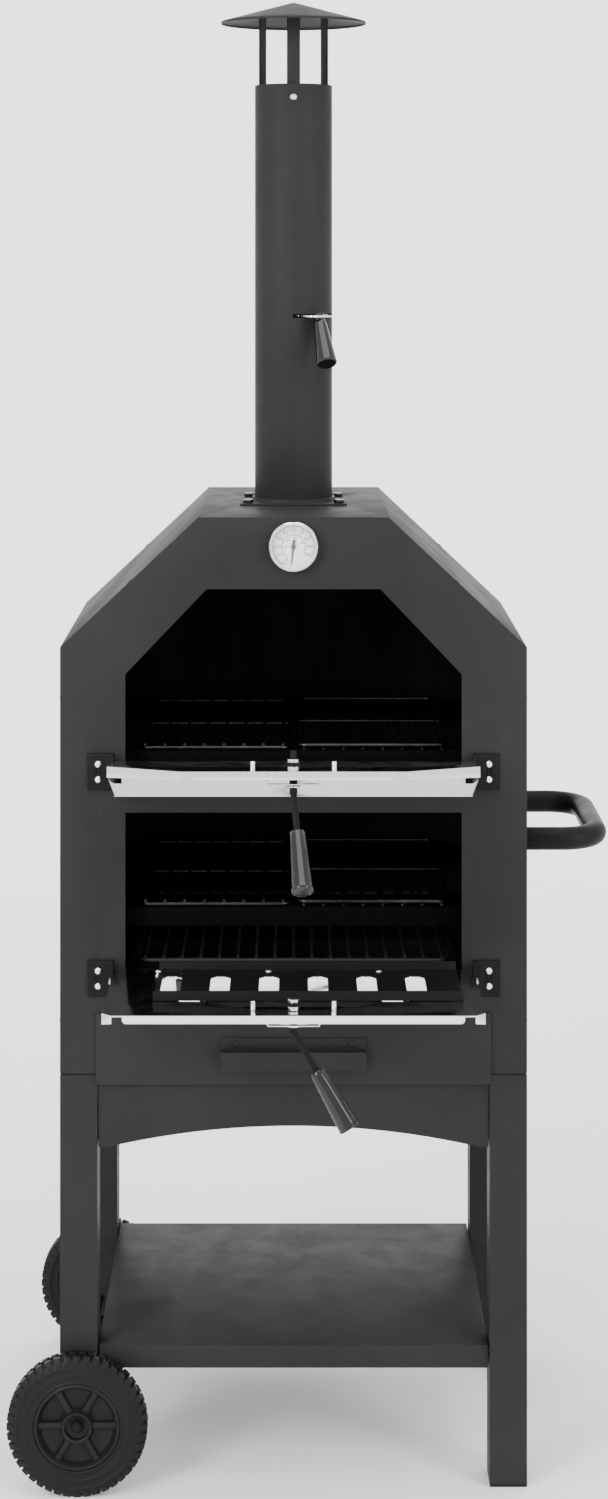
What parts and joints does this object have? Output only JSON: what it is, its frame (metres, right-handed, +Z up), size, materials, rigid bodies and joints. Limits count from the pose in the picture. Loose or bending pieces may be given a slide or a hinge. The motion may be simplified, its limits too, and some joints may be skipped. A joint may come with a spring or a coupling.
{
  "type": "wood fired pizza oven",
  "caption": "Free-standing sheet-steel pizza oven with drop-down doors over and under, a capped flue, and a wheeled stand with a shelf.",
  "frame": {"origin": "on the floor under the middle of the whole oven's bounding box, doors open as at rest", "axes": "+X to the right seen from the front, +Y to the back, +Z up along the flue"},
  "size_m": [0.654, 0.6568, 1.606],
  "materials": {
    "painted_steel": "satin black high-heat powder coat",
    "stainless": "polished stainless sheet",
    "bright_fixings": "bright zinc plate",
    "black_fixings": "satin black",
    "chromed_wire": "chromed wire",
    "grate_iron": "dark enamelled wire",
    "grip_plastic": "matte black",
    "wheel_plastic": "matte black",
    "handle_paint": "satin black",
    "gauge_chrome": "polished",
    "dial_white": "white enamel",
    "needle_black": "matte black",
    "gauge_glass": "clear"
  },
  "bodies": {
    "oven": {"front_panel": "painted_steel", "back_panel": "painted_steel", "left_side_panel": "painted_steel", "right_side_panel": "painted_steel", "roof_panel": "painted_steel", "base_panel": "painted_steel", "panel_screws": "black_fixings", "rack_rails": "painted_steel", "charcoal_grate": "grate_iron", "left_legs": "painted_steel", "right_legs": "painted_steel", "aprons": "painted_steel", "bottom_shelf": "painted_steel", "frame_bolts": "bright_fixings", "foot_caps": "grip_plastic", "axle": "black_fixings", "axle_nuts": "black_fixings", "flue_pipe": "painted_steel", "flue_flange": "painted_steel", "flange_bolts": "black_fixings", "rain_cap": "painted_steel", "cap_straps": "painted_steel", "damper_seat": "painted_steel", "hinge_brackets": "painted_steel", "hinge_rivets": "bright_fixings", "hinge_pins": "bright_fixings", "side_handle": "handle_paint", "gauge_case": "gauge_chrome", "gauge_dial": "dial_white", "gauge_glass": "gauge_glass"},
    "upper_left_rack": {"left_upper_rack": "chromed_wire"},
    "upper_right_rack": {"right_upper_rack": "chromed_wire"},
    "lower_left_rack": {"left_lower_rack": "chromed_wire"},
    "lower_right_rack": {"right_lower_rack": "chromed_wire"},
    "ash_drawer": {"ash_tray": "painted_steel", "ash_tray_pull": "painted_steel"},
    "front_wheel": {"front_tyre": "wheel_plastic", "front_wheel_hub": "wheel_plastic"},
    "rear_wheel": {"rear_tyre": "wheel_plastic", "rear_wheel_hub": "wheel_plastic"},
    "damper": {"damper_plate": "stainless", "damper_grip": "grip_plastic"},
    "upper_door": {"upper_door_panel": "stainless", "upper_handle_plate": "stainless", "upper_door_studs": "bright_fixings"},
    "upper_latch": {"upper_latch_shaft": "black_fixings", "upper_latch_nuts": "bright_fixings", "upper_latch_cam": "black_fixings", "upper_handle_grip": "grip_plastic"},
    "lower_door": {"lower_door_panel": "stainless", "lower_handle_plate": "stainless", "lower_door_studs": "bright_fixings"},
    "lower_latch": {"lower_latch_shaft": "black_fixings", "lower_latch_nuts": "bright_fixings", "lower_latch_cam": "black_fixings", "lower_handle_grip": "grip_plastic"},
    "air_vent": {"vent_slider": "painted_steel", "vent_knob": "grip_plastic"},
    "thermometer_needle": {"gauge_needle": "needle_black"}
  },
  "joints": [
    {"name": "upper_door_hinge", "type": "hinge", "parent": "oven", "child": "upper_door", "pos_m": [-0.022, -0.06388, 0.766], "axis": [1, 0, 0], "range_deg": [-81.5, 0]},
    {"name": "lower_door_hinge", "type": "hinge", "parent": "oven", "child": "lower_door", "pos_m": [-0.022, -0.06388, 0.545], "axis": [1, 0, 0], "range_deg": [-88, 0]},
    {"name": "upper_latch_turn", "type": "hinge", "parent": "upper_door", "child": "upper_latch", "pos_m": [-0.022, -0.24783, 0.79349], "axis": [0, 0.1478, 0.989], "range_deg": [0, 171.5]},
    {"name": "lower_latch_turn", "type": "hinge", "parent": "lower_door", "child": "lower_latch", "pos_m": [-0.022, -0.22978, 0.55079], "axis": [0, 0.0349, 0.9994], "range_deg": [-63.5, 108]},
    {"name": "air_vent_slide", "type": "slide", "parent": "lower_door", "child": "air_vent", "axis": [1, 0, 0], "range_m": [-0.021, 0]},
    {"name": "ash_drawer_slide", "type": "slide", "parent": "oven", "child": "ash_drawer", "axis": [0, 1, 0], "range_m": [-0.15, 0]},
    {"name": "upper_left_rack_slide", "type": "slide", "parent": "oven", "child": "upper_left_rack", "axis": [0, -1, 0], "range_m": [0, 0.058]},
    {"name": "lower_left_rack_slide", "type": "slide", "parent": "oven", "child": "lower_left_rack", "axis": [0, -1, 0], "range_m": [0, 0.2]},
    {"name": "upper_right_rack_slide", "type": "slide", "parent": "oven", "child": "upper_right_rack", "axis": [0, -1, 0], "range_m": [0, 0.058]},
    {"name": "lower_right_rack_slide", "type": "slide", "parent": "oven", "child": "lower_right_rack", "axis": [0, -1, 0], "range_m": [0, 0.2]},
    {"name": "damper_turn", "type": "hinge", "parent": "oven", "child": "damper", "pos_m": [-0.022, 0.12512, 1.249], "axis": [0, 0, 1], "range_deg": [-8, 37]},
    {"name": "needle_turn", "type": "hinge", "parent": "oven", "child": "thermometer_needle", "pos_m": [-0.022, -0.05488, 1.007], "axis": [0, 1, 0], "range_deg": [0, 290]},
    {"name": "front_wheel_spin", "type": "hinge", "parent": "oven", "child": "front_wheel", "pos_m": [-0.252, -0.06388, 0.075], "axis": [0, 1, 0], "continuous": true},
    {"name": "rear_wheel_spin", "type": "hinge", "parent": "oven", "child": "rear_wheel", "pos_m": [-0.252, 0.31412, 0.075], "axis": [0, 1, 0], "continuous": true}
  ]
}
